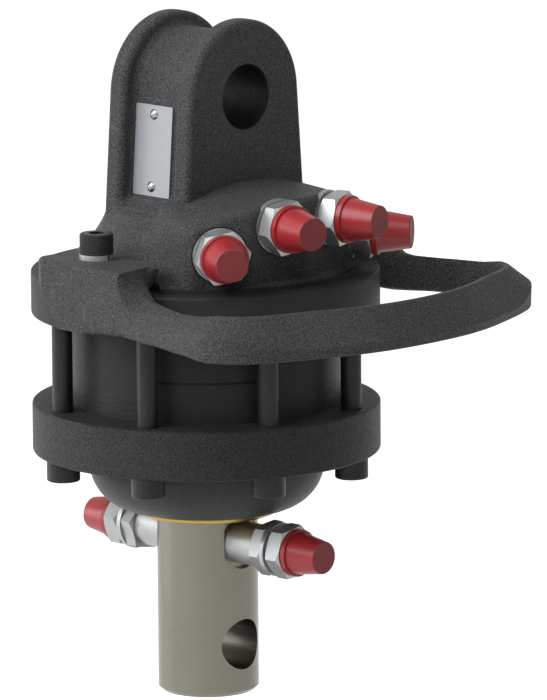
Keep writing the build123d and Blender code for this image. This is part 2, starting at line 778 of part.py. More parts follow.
# Long bolts from below, through the lower flange and past the cam ring
with BuildPart() as long_bolts:
    with Locations((0, 0, lower_flange_bottom_z)):
        with PolarLocations(bolt_circle_r, bolt_count, start_angle=180 / bolt_count):
            add(socket_screw(long_bolt_length), rotation=(180, 0, 0))

save(long_bolts.part, "long_bolts")

# Lower cover: flange and domed housing, bored in steps from the top for what it holds
cover_bores = [
    (collar_r + collar_gap, lower_flange_top_z, bearing_bottom_z + bearing_washer_thickness),
    (bearing_outer_r + bearing_seat_clearance, lower_flange_top_z, bearing_bottom_z),
    (lower_bush_r, bearing_bottom_z, lower_bush_bottom_z),
    (shaft_r + shaft_pass_clearance, lower_bush_bottom_z, lip_seal_top_z),
    (lip_seal_outer_r, lip_seal_top_z, wiper_top_z),
    (wiper_outer_r, wiper_top_z, dome_bottom_z),
]

with BuildPart() as lower_cover:
    with Locations((0, 0, lower_flange_bottom_z)):
        Cylinder(flange_r, lower_flange_thickness, align=upward)
    fillet(lower_cover.edges().filter_by(GeomType.CIRCLE), radius=flange_edge_r)
    with Locations((0, 0, lower_flange_bottom_z)):
        Cylinder(dome_r, lower_flange_bottom_z - dome_bottom_z, align=downward)
    fillet(circles(lower_cover.edges(), dome_r).sort_by(Axis.Z)[0], radius=dome_round_r)
    fillet(circles(lower_cover.edges(), dome_r).sort_by(Axis.Z)[-1], radius=dome_joint_r)
    for bore_r, bore_top, bore_bottom in cover_bores:
        with Locations((0, 0, bore_top)):
            Cylinder(bore_r, bore_top - bore_bottom, align=downward, mode=Mode.SUBTRACT)
    bolt_hole_r = (bolt_d + bolt_hole_clearance) / 2
    with Locations((0, 0, lower_flange_top_z)):
        with PolarLocations(bolt_circle_r, bolt_count, start_angle=180 / bolt_count):
            Cylinder(bolt_hole_r, lower_flange_thickness, align=downward, mode=Mode.SUBTRACT)

save(lower_cover.part, "lower_cover")

# Bushes that guide the shaft, pressed into the head and the lower cover
upper_bush = ring(swivel_bore_r, upper_bush_r, upper_flange_bottom_z, upper_bush_length, bush_chamfer)
lower_bush = ring(lower_bush_bore_r, lower_bush_r, lower_bush_bottom_z, lower_bush_length, bush_chamfer)
save(upper_bush, "upper_bush")
save(lower_bush, "lower_bush")

# Ball thrust bearing under the shaft's collar
bearing_mid_z = bearing_bottom_z + bearing_height / 2
upper_washer_z = collar_bottom_z - bearing_washer_thickness

with BuildPart() as ball_track:
    with Locations((0, 0, bearing_mid_z)):
        Torus(ball_pitch_r, ball_r + ball_clearance)

for name, washer_z in (("upper", upper_washer_z), ("lower", bearing_bottom_z)):
    with BuildPart() as bearing_washer:
        add(ring(bearing_bore_r, bearing_outer_r, washer_z, bearing_washer_thickness, bearing_chamfer))
        add(ball_track.part, mode=Mode.SUBTRACT)
    save(bearing_washer.part, f"bearing_washer_{name}")

with BuildPart() as ball_cage:
    cage_inner_r = ball_pitch_r - ball_r - ball_clearance - cage_rim
    cage_outer_r = ball_pitch_r + ball_r + ball_clearance + cage_rim
    add(ring(cage_inner_r, cage_outer_r, bearing_mid_z - cage_height / 2, cage_height))
    with Locations((0, 0, bearing_mid_z)):
        with PolarLocations(ball_pitch_r, ball_count):
            Sphere(ball_r + ball_clearance, mode=Mode.SUBTRACT)

save(ball_cage.part, "ball_cage")

with BuildPart() as bearing_balls:
    with Locations((0, 0, bearing_mid_z - ball_clearance)):
        with PolarLocations(ball_pitch_r, ball_count):
            Sphere(ball_r)

save(bearing_balls.part, "bearing_balls")

# Lip seal and wiper ring round the shaft where it leaves the cover
seal_floor_z = lip_seal_top_z - lip_seal_height
seal_case_r = lip_seal_outer_r - lip_seal_wall
seal_web_z = lip_seal_top_z - lip_seal_wall
lip_root_r = lower_bush_bore_r + lip_seal_wall
lip_seal = turned([
    (lip_seal_outer_r, lip_seal_top_z),
    (lip_seal_outer_r, seal_floor_z),
    (seal_case_r, seal_floor_z),
    (seal_case_r, seal_web_z),
    (lip_root_r, seal_web_z),
    (lip_root_r, seal_floor_z + lip_seal_wall),
    (lower_bush_bore_r, seal_floor_z + lip_seal_wall),
    (lower_bush_bore_r, seal_floor_z + 2 * lip_seal_wall),
    (lower_bush_bore_r + lip_seal_wall / 2, lip_seal_top_z),
])
save(lip_seal, "lip_seal")

with BuildPart() as wiper_ring:
    add(ring(lower_bush_bore_r, wiper_outer_r, wiper_bottom_z, wiper_height))
    fillet(circles(wiper_ring.edges(), wiper_outer_r).sort_by(Axis.Z)[0], radius=wiper_edge_r)

save(wiper_ring.part, "wiper_ring")

# Shaft: oil swivel at the top, splines, collar and the long output end with its cross bore
seal_groove_r = swivel_r - swivel_seal_depth
oil_groove_r = swivel_r - oil_groove_depth
swivel_seals = []
for level in swivel_seal_levels:
    seal_outer_edge_r = swivel_bore_r - swivel_seal_clearance
    swivel_seals.append(ring(seal_groove_r, seal_outer_edge_r, level - swivel_seal_width / 2, swivel_seal_width))

with BuildPart() as shaft:
    with Locations((0, 0, rotor_top_z)):
        Cylinder(swivel_r, shaft_top_z - rotor_top_z, align=upward)
    chamfer(shaft.edges().group_by(Axis.Z)[-1], length=swivel_chamfer)
    with BuildSketch(Plane.XY.offset(rotor_bottom_z)):
        add(spline_face(0))
    extrude(amount=rotor_height)
    with Locations((0, 0, rotor_bottom_z)):
        Cylinder(collar_r, collar_thickness, align=downward)
    with Locations((0, 0, collar_bottom_z)):
        Cylinder(shaft_r, collar_bottom_z - shaft_bottom_z, align=downward)
    chamfer(shaft.edges().group_by(Axis.Z)[0], length=shaft_chamfer)
    for seal in swivel_seals:
        add(seal, mode=Mode.SUBTRACT)
    for groove_z in (inner_port_z, second_groove_z):
        groove_bottom = groove_z - oil_groove_width / 2
        add(ring(oil_groove_r, swivel_bore_r, groove_bottom, oil_groove_width), mode=Mode.SUBTRACT)
    for side, groove_z in ((1, inner_port_z), (-1, second_groove_z)):
        gallery_x = side * shaft_gallery_x
        gallery_top = (gallery_x, 0, shaft_top_z)
        add(drilling(gallery_top, (gallery_x, 0, shaft_port_z), gallery_d), mode=Mode.SUBTRACT)
        groove_mouth = (side * swivel_r, 0, groove_z)
        add(drilling((gallery_x, 0, groove_z), groove_mouth, feed_drill_d), mode=Mode.SUBTRACT)
    for plane in shaft_ports.values():
        with Locations(plane.location):
            Cylinder(shaft_spot_r, shaft_r, align=upward, mode=Mode.SUBTRACT)
            Cylinder(port_thread_r, shaft_port_depth, align=downward, mode=Mode.SUBTRACT)
    with Locations((0, 0, cross_bore_z)):
        Cylinder(cross_bore_d / 2, 2 * shaft_d, rotation=(0, 90, 0), mode=Mode.SUBTRACT)

save(shaft.part, "shaft")
for number, seal in enumerate(swivel_seals, 1):
    save(seal, f"swivel_seal_{number}")

# Plugs that close the tops of the two shaft galleries
with BuildPart() as gallery_plugs:
    with Locations((shaft_gallery_x, 0, shaft_top_z), (-shaft_gallery_x, 0, shaft_top_z)):
        Cylinder(gallery_d / 2, gallery_plug_length, align=downward)

save(gallery_plugs.part, "gallery_plugs")

# Rotor with its slots, and the vanes pushed home in them
with BuildPart() as rotor:
    with BuildSketch(Plane.XY.offset(rotor_bottom_z)):
        Circle(rotor_r)
        add(spline_face(spline_clearance), mode=Mode.SUBTRACT)
        with PolarLocations(0, vane_count, start_angle=180 / vane_count):
            with Locations((slot_floor_r, 0)):
                slot_align = (Align.MIN, Align.CENTER)
                Rectangle(rotor_r, vane_thickness + 2 * vane_clearance, align=slot_align, mode=Mode.SUBTRACT)
    extrude(amount=rotor_height)

save(rotor.part, "rotor")

with BuildPart() as vane:
    with BuildSketch(Plane.XY.offset(rotor_bottom_z)):
        with Locations((vane_tip_r, 0)):
            Rectangle(vane_depth, vane_thickness, align=(Align.MAX, Align.CENTER))
    extrude(amount=rotor_height)
    tip_edges = vane.edges().filter_by(Axis.Z).group_by(Axis.X)[-1]
    fillet(tip_edges, radius=vane_tip_edge_r)

for number in range(1, vane_count + 1):
    vane_angle = (number - 0.5) * 360 / vane_count
    save(Rotation(0, 0, vane_angle) * vane.part, f"vane_{number}")

# Fittings in the four upper ports
port_seal = ring(seal_inner_r, seal_outer_r, 0, seal_thickness)
for name, plane in upper_ports.items():
    save(placed(port_seal, plane), f"port_seal_{name}")
    save(placed(adapter(adapter_shank_length), plane), f"port_adapter_{name}")
    save(placed(cap(), plane), f"port_cap_{name}")

# Fittings on the shaft, on a long nipple each
lower_shank = nipple_thread_depth - cap_socket_margin
for name, plane in shaft_ports.items():
    nipple_end = plane.offset(nipple_length)
    save(placed(nipple(), plane), f"shaft_nipple_{name}")
    save(placed(port_seal, nipple_end), f"shaft_seal_{name}")
    save(placed(adapter(lower_shank), nipple_end), f"shaft_adapter_{name}")
    save(placed(cap(), nipple_end), f"shaft_cap_{name}")
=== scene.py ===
"""Looks of the hydraulic grapple rotator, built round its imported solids.

Every piece is in metres, in the frame of the solids: the origin is the centre of the lug's pin bore,
+Z runs up along the shaft and +X is the side that the upper hose ports face.
"""

import logging
import math
from dataclasses import dataclass
from enum import Enum
from typing import Any

import bmesh
import bpy
import numpy as np
from mathutils import Matrix, Vector

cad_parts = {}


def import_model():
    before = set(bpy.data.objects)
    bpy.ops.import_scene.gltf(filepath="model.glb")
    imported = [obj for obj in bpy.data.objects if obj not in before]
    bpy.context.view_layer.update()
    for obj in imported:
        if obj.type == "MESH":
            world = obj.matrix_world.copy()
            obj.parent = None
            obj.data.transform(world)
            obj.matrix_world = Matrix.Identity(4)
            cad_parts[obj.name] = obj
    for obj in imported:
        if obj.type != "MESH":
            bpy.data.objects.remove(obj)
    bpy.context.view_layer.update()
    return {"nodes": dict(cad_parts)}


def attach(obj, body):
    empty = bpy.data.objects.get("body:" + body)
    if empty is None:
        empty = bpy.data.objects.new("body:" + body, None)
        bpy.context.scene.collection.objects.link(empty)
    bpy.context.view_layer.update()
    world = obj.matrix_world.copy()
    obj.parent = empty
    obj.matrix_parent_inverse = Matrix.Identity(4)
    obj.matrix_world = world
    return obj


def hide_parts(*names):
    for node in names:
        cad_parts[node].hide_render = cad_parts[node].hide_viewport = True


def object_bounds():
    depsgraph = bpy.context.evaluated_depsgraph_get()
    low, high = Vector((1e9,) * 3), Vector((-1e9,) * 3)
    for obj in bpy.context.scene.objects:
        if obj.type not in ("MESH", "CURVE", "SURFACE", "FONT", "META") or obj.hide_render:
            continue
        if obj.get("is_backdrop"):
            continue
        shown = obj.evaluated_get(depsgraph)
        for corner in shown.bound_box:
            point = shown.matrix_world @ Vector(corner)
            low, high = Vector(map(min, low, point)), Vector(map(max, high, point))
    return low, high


LOG = logging.getLogger("rotator")

Link = Any
Triple = tuple[float, float, float]


class Noise(Enum):
    """How coarse the marks of a cast or worked surface are, in cells per metre."""

    FINE = 3600.0
    SAND = 1950.0
    SCUFFS = 900.0
    LEATHER = 430.0
    WEAR = 420.0
    BLOOM = 300.0
    PLASTIC = 260.0
    ZINC = 160.0
    LATHE = 120.0
    LUMPS = 110.0
    TURNING = 60.0
    STAINS = 45.0
    SHADE = 24.0


class Side(Enum):
    """Side of the rotator, seen from the photograph's camera."""

    FRONT = "front"
    BACK = "back"


@dataclass
class Signal:
    """A number that varies over a surface, which Python's operators turn into Math nodes.

    Attributes:
        graph: The node graph that the number belongs to.
        link: The output socket that carries it.
    """

    graph: "Graph"
    link: Link

    def _math(self, operation: str, first: Any, second: Any = 0.0) -> "Signal":
        """Add one Math node.

        Args:
            operation: Blender's name of the operation.
            first: First value or signal.
            second: Second value or signal.

        Returns:
            The node's result.
        """
        node = self.graph.node("ShaderNodeMath", {"operation": operation}, {0: first, 1: second})
        return Signal(self.graph, node.outputs[0])

    def __add__(self, other: Any) -> "Signal":
        """Return self + other."""
        return self._math("ADD", self, other)

    def __radd__(self, other: Any) -> "Signal":
        """Return other + self."""
        return self._math("ADD", other, self)

    def __sub__(self, other: Any) -> "Signal":
        """Return self - other."""
        return self._math("SUBTRACT", self, other)

    def __rsub__(self, other: Any) -> "Signal":
        """Return other - self."""
        return self._math("SUBTRACT", other, self)

    def __mul__(self, other: Any) -> "Signal":
        """Return self * other."""
        return self._math("MULTIPLY", self, other)

    def __rmul__(self, other: Any) -> "Signal":
        """Return other * self."""
        return self._math("MULTIPLY", other, self)

    def __gt__(self, other: Any) -> "Signal":
        """Return 1 where self is above other and 0 elsewhere."""
        return self._math("GREATER_THAN", self, other)

    def __lt__(self, other: Any) -> "Signal":
        """Return 1 where self is below other and 0 elsewhere."""
        return self._math("LESS_THAN", self, other)

    def __abs__(self) -> "Signal":
        """Return the size of self without its sign."""
        return self._math("ABSOLUTE", self)

    def wave(self) -> "Signal":
        """Return the sine of self."""
        return self._math("SINE", self)

    def bearing(self, x: "Signal") -> "Signal":
        """Return the angle of the plan direction whose Y part is self and whose X part is x."""
        return self._math("ARCTAN2", self, x)


@dataclass
class Graph:
    """The node tree of one material or world, with the surface shader that it feeds.

    Attributes:
        owner: The material or world whose nodes these are.
    """

    owner: bpy.types.Material | bpy.types.World

    @classmethod
    def fresh(cls, name: str) -> "Graph":
        """Make a material with one surface shader and nothing else.

        Args:
            name: Name of the material.

        Returns:
            Its graph.
        """
        material = bpy.data.materials.new(name)
        material.use_nodes = True
        return cls(material)

    @property
    def shader(self) -> bpy.types.ShaderNodeBsdfPrincipled:
        """The surface shader of the material."""
        return self.owner.node_tree.nodes["Principled BSDF"]

    def feed(self, socket: Link, value: Any) -> None:
        """Link a signal or socket to an input, or set the input's own value.

        Args:
            socket: The input.
            value: A signal, an output socket, a number or a tuple.
        """
        if isinstance(value, Signal):
            value = value.link
        if isinstance(value, bpy.types.NodeSocket):
            self.owner.node_tree.links.new(value, socket)
        else:
            socket.default_value = value

    def node(
        self, kind: str, settings: dict[str, Any] | None = None, inputs: dict[Any, Any] | None = None
    ) -> bpy.types.Node:
        """Add any node.

        Args:
            kind: Blender's type name of the node.
            settings: Properties of the node, set first; "stops" gives a colour ramp's stops.
            inputs: Values or links by socket name or number.

        Returns:
            The new node.
        """
        made = self.owner.node_tree.nodes.new(kind)
        for name, value in (settings or {}).items():
            if name == "stops":
                ramp = made.color_ramp.elements
                while len(ramp) < len(value):
                    ramp.new(0.5)
                for element, (place, shade) in zip(ramp, value):
                    element.position = place
                    element.color = (shade, shade, shade, 1)
            else:
                setattr(made, name, value)
        for name, value in (inputs or {}).items():
            self.feed(made.inputs[name], value)
        return made

    def place(self) -> Link:
        """Return the socket of the surface's own coordinates, which move with the piece."""
        return self.node("ShaderNodeTexCoord").outputs["Object"]

    def along(self, axis: Triple, start: float = 0.0) -> Signal:
        """Return the distance of each surface point along a direction.

        Args:
            axis: The direction.
            start: Distance that counts as zero.

        Returns:
            The distance in metres.
        """
        product = self.node("ShaderNodeVectorMath", {"operation": "DOT_PRODUCT"}, {0: self.place(), 1: axis})
        return Signal(self, product.outputs["Value"]) - start

    def grain(self, size: Noise, detail: float = 3.0, stretch: Triple = (1, 1, 1)) -> Signal:
        """Return cloudy noise from 0 to 1.

        Args:
            size: How coarse it is.
            detail: Octaves of finer noise.
            stretch: Scale of the coordinates along each axis.

        Returns:
            The noise.
        """
        scaled = self.node("ShaderNodeVectorMath", {"operation": "MULTIPLY"}, {0: self.place(), 1: stretch})
        inputs = {"Vector": scaled.outputs[0], "Scale": size.value, "Detail": detail}
        return Signal(self, self.node("ShaderNodeTexNoise", {}, inputs).outputs["Fac"])

    def ramp(self, signal: Signal, stops: list[tuple[float, float]]) -> Signal:
        """Return a signal reshaped by a ramp of grey stops.

        Args:
            signal: What is reshaped.
            stops: Places and grey values.

        Returns:
            The reshaped signal.
        """
        made = self.node("ShaderNodeValToRGB", {"stops": stops}, {0: signal})
        return Signal(self, made.outputs[0])

    def mix(self, share: Any, first: Any, second: Any) -> Link:
        """Return a blend of two colours.

        Args:
            share: From 0 for the first colour to 1 for the second.
            first: Colour or socket.
            second: Colour or socket.

        Returns:
            The socket of the blended colour.
        """
        made = self.node("ShaderNodeMix", {"data_type": "RGBA"}, {0: share, 6: first, 7: second})
        return made.outputs[2]

    def raise_by(self, height: Any, strength: float, distance: float, under: Link | None = None) -> Link:
        """Return a normal that a height field bends.

        Args:
            height: The height field.
            strength: Share of the effect.
            distance: Height in metres of a full step.
            under: Normal that this one is laid over.

        Returns:
            The socket of the bent normal.
        """
        made = self.node("ShaderNodeBump", {}, {"Strength": strength, "Distance": distance, "Height": height})
        if under is not None:
            self.feed(made.inputs["Normal"], under)
        return made.outputs["Normal"]

    def surface(self, **values: Any) -> bpy.types.Material:
        """Set the shader's inputs, named with _ for a space.

        Args:
            **values: Values or links of the inputs.

        Returns:
            The finished material.
        """
        for name, value in values.items():
            self.feed(self.shader.inputs[name.replace("_", " ")], value)
        return self.owner

    def seen(self) -> Signal:
        """Return 1 for rays from the camera, a reflection or glass, and 0 for other rays."""
        path = self.node("ShaderNodeLightPath").outputs
        kinds = ("Is Camera Ray", "Is Glossy Ray", "Is Transmission Ray")
        camera, glossy, through = (Signal(self, path[kind]) for kind in kinds)
        return (camera + glossy + through) > 0.5


def grey(value: float) -> tuple[float, float, float, float]:
    """Return a neutral colour of one linear value."""
    return (value, value, value, 1.0)


@dataclass(frozen=True)
class CastPaint:
    """Satin black paint over a sand-cast skin, smoother where the casting is turned.

    Attributes:
        name: Name of the material.
        tone: Linear grey of the paint.
        roughness: Middle roughness.
        relief: Share of the casting's relief that shows.
        turned_z: Height below which the casting is turned, or None where all of it is cast.
        turned_tone_and_painted_light: Tone of the turned stretch, as a share of the cast tone; a share above
            1, as on the lower cover's dome, is painted light.
        gloss: Specular level of the paint.
        shaded_bore_r: Radius of the bore along X whose wall is bare and smooth and painted near black as
            painted shade, or None without one.
        bore_shade_tone: Linear grey of the painted shade on that wall.
        dark: Bluish colour between the sand grains, as shares of the tone: painted shade in the grain's
            hollows.
        light: Warm colour on the sand grains, as shares of the tone: painted glints on the grain's tops, over
            its own lighter tone.
        grain_height: Height of the sand grain's bumps.
        lump_height: Height of the broad lumps.
    """

    name: str
    tone: float = 0.05
    roughness: float = 0.5
    relief: float = 1.0
    turned_z: float | None = None
    turned_tone_and_painted_light: float = 0.5
    gloss: float = 0.13
    shaded_bore_r: float | None = None
    bore_shade_tone: float = 0.006
    dark: Triple = (0.36, 0.37, 0.4)
    light: Triple = (2.25, 2.22, 2.15)
    grain_height: float = 0.0018
    lump_height: float = 0.0012

    def material(self) -> bpy.types.Material:
        """Return the material, with sand grain, lumps and faint shading in the colour, and the grain's tops
        painted lighter as painted glints and its hollows darker as painted shade.
        """
        graph = Graph.fresh(self.name)
        sand = graph.grain(Noise.SAND, 2.5)
        fine = graph.grain(Noise.FINE, 1.0)
        leather = graph.grain(Noise.LEATHER)
        lumps = graph.grain(Noise.LUMPS)
        shade = graph.grain(Noise.SHADE, 2.0)
        # The specks pick out the grain's raised tops, painted light and warm as painted glints, and leave its
        # hollows dark and bluish as painted shade.
        speck_and_glint = graph.ramp(sand * 0.6 + fine * 0.4, [(0.45, 0.0), (0.58, 1.0)])
        share = speck_and_glint * 0.78 + leather * 0.05 + shade * 0.17
        dark, light = ((*(self.tone * part for part in shares), 1.0) for shares in (self.dark, self.light))
        paint = graph.mix(share, dark, light)
        depth = sand * 0.55 + fine * 0.2 + leather * 0.25
        y, z = graph.along((0, 1, 0)), graph.along((0, 0, 1))
        # On the lower cover a turned share above 1 paints the dome lighter: painted light from below.
        if self.turned_z is not None:
            cast = z > self.turned_z
            low, high = (self.tone * self.turned_tone_and_painted_light * part for part in (0.8, 1.2))
            paint = graph.mix(cast, graph.mix(leather, grey(low), grey(high)), paint)
            lumps = lumps * (cast * 0.8 + 0.2)
            depth = depth * (cast * 0.75 + 0.25)
        if self.shaded_bore_r is not None:
            # The bore's wall is painted near black: painted shade inside the bore.
            bore = (y * y + z * z) < self.shaded_bore_r**2
            paint = graph.mix(bore, paint, grey(self.bore_shade_tone))
            depth = depth * (1 - bore * 0.8)
        coarse = graph.raise_by(lumps, 0.3 * self.relief, self.lump_height)
        return graph.surface(
            Base_Color=paint,
            Roughness=speck_and_glint * -0.16 + (self.roughness + 0.08),
            Normal=graph.raise_by(depth, self.relief, self.grain_height, coarse),
            Specular_IOR_Level=self.gloss,
        )


@dataclass(frozen=True)
class CamRingPaint:
    """Black paint over the turned cam ring, with the scribed line that runs part way round it, painted near
    black as painted shade in its groove.

    Attributes:
        name: Name of the material.
        tone: Linear grey of the paint.
        line_shade_tone: Linear grey of the line, painted shade in its groove.
        line_z: Height of the scribed line.
        line_half: Half height of the line.
        bearing: Direction of the line's middle, in radians.
        reach: Half of the angle that the line covers, in radians.
        mark_height: Height of the turning marks.
    """

    name: str = "cam_ring_paint"
    tone: float = 0.02
    line_shade_tone: float = 0.003
    line_z: float = -0.1056
    line_half: float = 0.00048
    bearing: float = math.radians(-43)
    reach: float = math.radians(31)
    mark_height: float = 0.0006

    def material(self) -> bpy.types.Material:
        """Return the material, with faint turning marks and the line, whose darkness is painted shade."""
        graph = Graph.fresh(self.name)
        marks = graph.grain(Noise.TURNING, 2.0, (1, 1, 40))
        leather = graph.grain(Noise.LEATHER, 3.0, (1, 1, 1.8))
        height = graph.along((0, 0, 1), self.line_z)
        angle = graph.along((0, 1, 0)).bearing(graph.along((1, 0, 0)))
        line = (abs(height) < self.line_half) * (abs(angle - self.bearing) < self.reach)
        paint = graph.mix(marks * 0.4 + leather * 0.6, grey(self.tone * 0.7), grey(self.tone * 1.35))
        relief = marks * 0.25 + leather * 0.75 - line * 2.0
        return graph.surface(
            # The line is painted near black: painted shade in its groove.
            Base_Color=graph.mix(line, paint, grey(self.line_shade_tone)),
            Roughness=marks * 0.15 + 0.42,
            Normal=graph.raise_by(relief, 0.5, self.mark_height),
            Specular_IOR_Level=0.13,
        )


@dataclass(frozen=True)
class BlackOxide:
    """Blackened steel of the socket screws, knurled round the head where asked.

    Attributes:
        name: Name of the material.
        centre: Plan position of a knurled screw's axis, or None for a plain one.
        teeth: Knurls round the head.
        head_r: Radius above which the knurls show.
        lean: Turn of the knurls along the head, in radians per metre.
    """

    name: str
    centre: tuple[float, float] | None = None
    teeth: int = 56
    head_r: float = 0.0061
    lean: float = 5200.0

    def material(self) -> bpy.types.Material:
        """Return the material, with a crossed knurl round the head."""
        graph = Graph.fresh(self.name)
        wear = graph.grain(Noise.WEAR)
        relief = wear * 0.15
        if self.centre is not None:
            x = graph.along((1, 0, 0), self.centre[0])
            y = graph.along((0, 1, 0), self.centre[1])
            angle = y.bearing(x) * (self.teeth / 2)
            lean = graph.along((0, 0, 1)) * self.lean
            cross = (angle + lean).wave() * (angle - lean).wave()
            rim = (x * x + y * y) > self.head_r**2
            relief = relief + cross * rim
        return graph.surface(
            Base_Color=graph.mix(wear, grey(0.008), grey(0.024)),
            Metallic=0.1,
            Roughness=wear * 0.2 + 0.32,
            Normal=graph.raise_by(relief, 0.6, 0.0003),
            Specular_IOR_Level=0.22,
        )


@dataclass(frozen=True)
class ZincPlate:
    """Bright zinc plate, with thread turns on the hidden stub of an adapter where asked.

    Attributes:
        name: Name of the material.
        axis: Direction of the fitting's axis.
        start: Distance of the seal face along that axis.
        thread: First and last distance of the threaded stretch from the seal face, in metres.
        pitch: Pitch of the thread.
    """

    name: str
    axis: Triple = (0, 0, 1)
    start: float = 0.0
    thread: tuple[float, float] | None = None
    pitch: float = 0.00134

    def material(self) -> bpy.types.Material:
        """Return the material, with worn, cloudy facets and a thread where asked."""
        graph = Graph.fresh(self.name)
        cloud = graph.grain(Noise.ZINC, 4.0)
        scuffs = graph.ramp(graph.grain(Noise.SCUFFS, 5.0), [(0.5, 0.0), (0.75, 1.0)])
        relief = scuffs * 0.03
        if self.thread is not None:
            reach = graph.along(self.axis, self.start)
            low, high = self.thread
            turns = (reach * (2 * math.pi / self.pitch)).wave()
            relief = relief + turns * (reach > low) * (reach < high) * 1.4
        return graph.surface(
            Base_Color=graph.mix(cloud, (0.32, 0.325, 0.32, 1), (0.42, 0.425, 0.42, 1)),
            Metallic=0.8,
            Roughness=cloud * 0.1 + scuffs * 0.08 + 0.36,
            Normal=graph.raise_by(relief, 0.5, 0.0003),
        )


@dataclass(frozen=True)
class CapPlastic:
    """Soft red plastic of a protection cap, with a matte flat end that is painted darker as painted shade.

    Attributes:
        name: Name of the material.
        axis: Direction in which the cap points.
        end: Distance of the cap's end face along that direction.
        face_depth: Depth of the layer that counts as the end face.
    """

    name: str
    axis: Triple
    end: float
    face_depth: float = 0.00025

    def material(self) -> bpy.types.Material:
        """Return the material, rougher on the end face and painted darker there as painted shade."""
        graph = Graph.fresh(self.name)
        cloud = graph.grain(Noise.PLASTIC)
        streaks = graph.grain(Noise.WEAR, 2.0, (1, 1, 3))
        face = graph.along(self.axis, self.end) > -self.face_depth
        side = graph.mix(cloud * 0.6 + streaks * 0.4, (0.23, 0.010, 0.013, 1), (0.35, 0.024, 0.027, 1))
        # The end face is painted darker than the sides: painted shade on the face that turns from the light.
        shaded_end = graph.mix(cloud, (0.155, 0.018, 0.020, 1), (0.205, 0.030, 0.032, 1))
        return graph.surface(
            Base_Color=graph.mix(face, side, shaded_end),
            Roughness=face * 0.22 + streaks * 0.1 + 0.33,
            Normal=graph.raise_by(streaks, 0.12, 0.0003),
            Specular_IOR_Level=0.4,
        )


@dataclass(frozen=True)
class TurnedMetal:
    """Bare metal with the fine rings that a lathe or grinder leaves.

    Attributes:
        name: Name of the material.
        dark: Darker colour.
        light: Lighter colour.
        roughness: Middle roughness.
        stretch: How much finer the marks are along each axis.
        metallic: Share of bare metal.
    """

    name: str
    dark: Triple
    light: Triple
    roughness: float
    stretch: Triple = (1, 1, 30)
    metallic: float = 1.0

    def material(self) -> bpy.types.Material:
        """Return the material, with marks across its height and cloudy stains."""
        graph = Graph.fresh(self.name)
        marks = graph.grain(Noise.LATHE, 3.0, self.stretch)
        cloud = graph.grain(Noise.STAINS, 4.0)
        return graph.surface(
            Base_Color=graph.mix(marks * 0.5 + cloud * 0.5, (*self.dark, 1), (*self.light, 1)),
            Metallic=self.metallic,
            Roughness=marks * 0.08 + cloud * 0.1 + (self.roughness - 0.09),
            Normal=graph.raise_by(marks, 0.12, 0.0002),
        )


@dataclass(frozen=True)
class SoftSeal:
    """Rubber or plastic of a seal.

    Attributes:
        name: Name of the material.
        tone: Colour.
        roughness: Middle roughness.
    """

    name: str
    tone: Triple
    roughness: float

    def material(self) -> bpy.types.Material:
        """Return the material, with a faint bloom."""
        graph = Graph.fresh(self.name)
        bloom = graph.grain(Noise.BLOOM)
        pale = tuple(min(1.0, part * 1.6 + 0.004) for part in self.tone)
        return graph.surface(
            Base_Color=graph.mix(bloom, (*self.tone, 1), (*pale, 1)),
            Roughness=bloom * 0.15 + self.roughness,
            Normal=graph.raise_by(bloom, 0.1, 0.0002),
        )


@dataclass(frozen=True)
class Carried:
    """What a sub-assembly needs of the frame: the solids by name.

    Attributes:
        nodes: The solids' objects by name.
    """

    nodes: dict[str, bpy.types.Object]

    def dress(self, material: bpy.types.Material, *names: str) -> None:
        """Give solids a material and report each one.

        Args:
            material: What they get.
            *names: Names of the solids.
        """
        for name in names:
            mesh = self.nodes[name].data
            mesh.materials.clear()
            mesh.materials.append(material)
            LOG.info("%s wears %s", name, material.name)


def eased(share: np.ndarray) -> np.ndarray:
    """Return shares held to 0 to 1 that start and stop without a kink."""
    held = np.clip(share, 0.0, 1.0)
    return held * held * (3.0 - 2.0 * held)


@dataclass(frozen=True)
class Span:
    """A stretch along one axis in which a casting's skin may move.

    Attributes:
        axis: Number of the axis, from 0 for X to 2 for Z.
        low: Where the movement starts.
        high: Where it ends.
        fade: Width over which it comes and goes.
    """

    axis: int
    low: float
    high: float
    fade: float

    def share(self, points: np.ndarray) -> np.ndarray:
        """Return how far each point may move.

        Args:
            points: The points, one a row.

        Returns:
            A share from 0 outside the stretch to 1 well inside it.
        """
        place = points[:, self.axis]
        return eased((place - self.low) / self.fade) * eased((self.high - place) / self.fade)


@dataclass(frozen=True)
class KeepOut:
    """A round zone about a line, where a casting keeps the solid's crisp shape.

    Attributes:
        start: A point on the line.
        axis: Direction of the line.
        radius: Radius inside which nothing moves.
        fade: Width over which the movement comes back.
    """

    start: Triple
    axis: Triple
    radius: float
    fade: float

    def share(self, points: np.ndarray) -> np.ndarray:
        """Return how far each point may move.

        Args:
            points: The points, one a row.

        Returns:
            A share from 0 inside the zone to 1 past its fade.
        """
        axis = np.array(Vector(self.axis).normalized())
        away = points - np.array(self.start)
        across = away - np.outer(away @ axis, axis)
        return eased((np.linalg.norm(across, axis=1) - self.radius) / self.fade)


